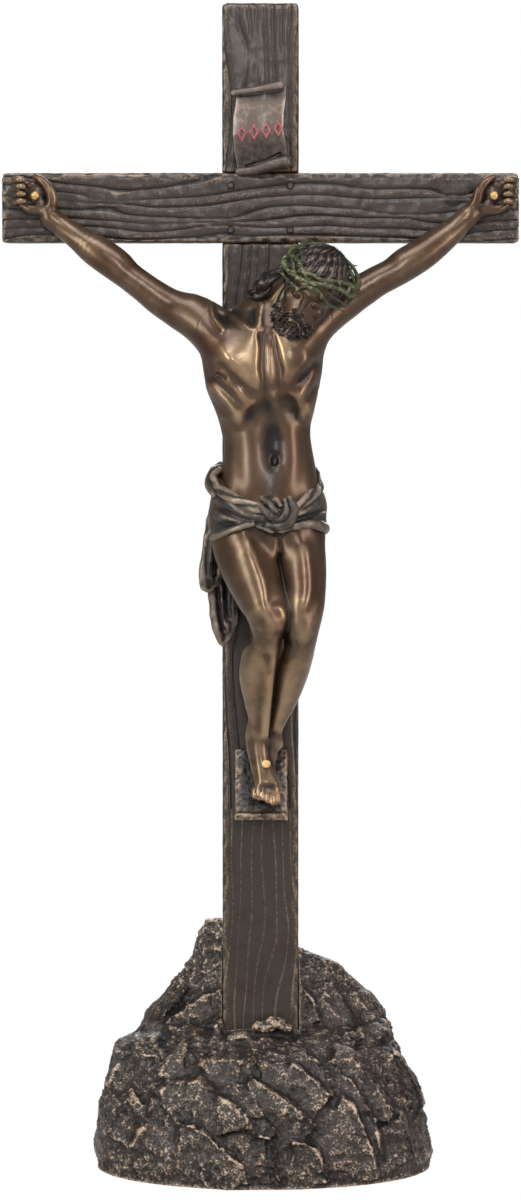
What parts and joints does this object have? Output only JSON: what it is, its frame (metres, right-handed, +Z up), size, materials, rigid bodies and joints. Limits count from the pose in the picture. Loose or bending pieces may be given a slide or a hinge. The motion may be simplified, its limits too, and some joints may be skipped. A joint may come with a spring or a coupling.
{
  "type": "standing crucifix",
  "caption": "Free-standing cold-cast bronze crucifix: a figure nailed to a rough timber cross with a plain scroll and a foot rest, set in a craggy rock base on felt.",
  "frame": {"origin": "on the table, under the post's axis, at the middle of the felt's lower face", "axes": "+Z up along the post, +X to the viewer's right along the beam, -Y towards the viewer"},
  "size_m": [0.117, 0.0645, 0.267],
  "materials": {
    "rock": "matte",
    "felt": "matte",
    "steel": "satin",
    "timber": "satin",
    "scroll": "satin",
    "rest": "satin",
    "skin": "satin",
    "cloth": "satin",
    "crown": "satin",
    "nail": "satin"
  },
  "bodies": {
    "root": {"rock_base": "rock", "base_felt": "felt", "base_washer": "steel", "base_screw": "steel", "cross_upright": "timber", "crossbeam": "timber", "lap_nails": "timber", "titulus_scroll": "scroll", "foot_rest": "rest", "figure_body": "skin", "right_arm": "skin", "left_arm": "skin", "head": "skin", "shoulder_dowels": "steel", "neck_dowel": "steel", "right_hand_nail": "nail", "left_hand_nail": "nail", "foot_nail": "nail", "crown_strand_lower": "crown", "crown_strand_middle": "crown", "crown_strand_upper": "crown", "loincloth_belt": "cloth", "loincloth_wrap": "cloth", "loincloth_knot": "cloth", "loincloth_tail": "cloth"}
  },
  "joints": []
}
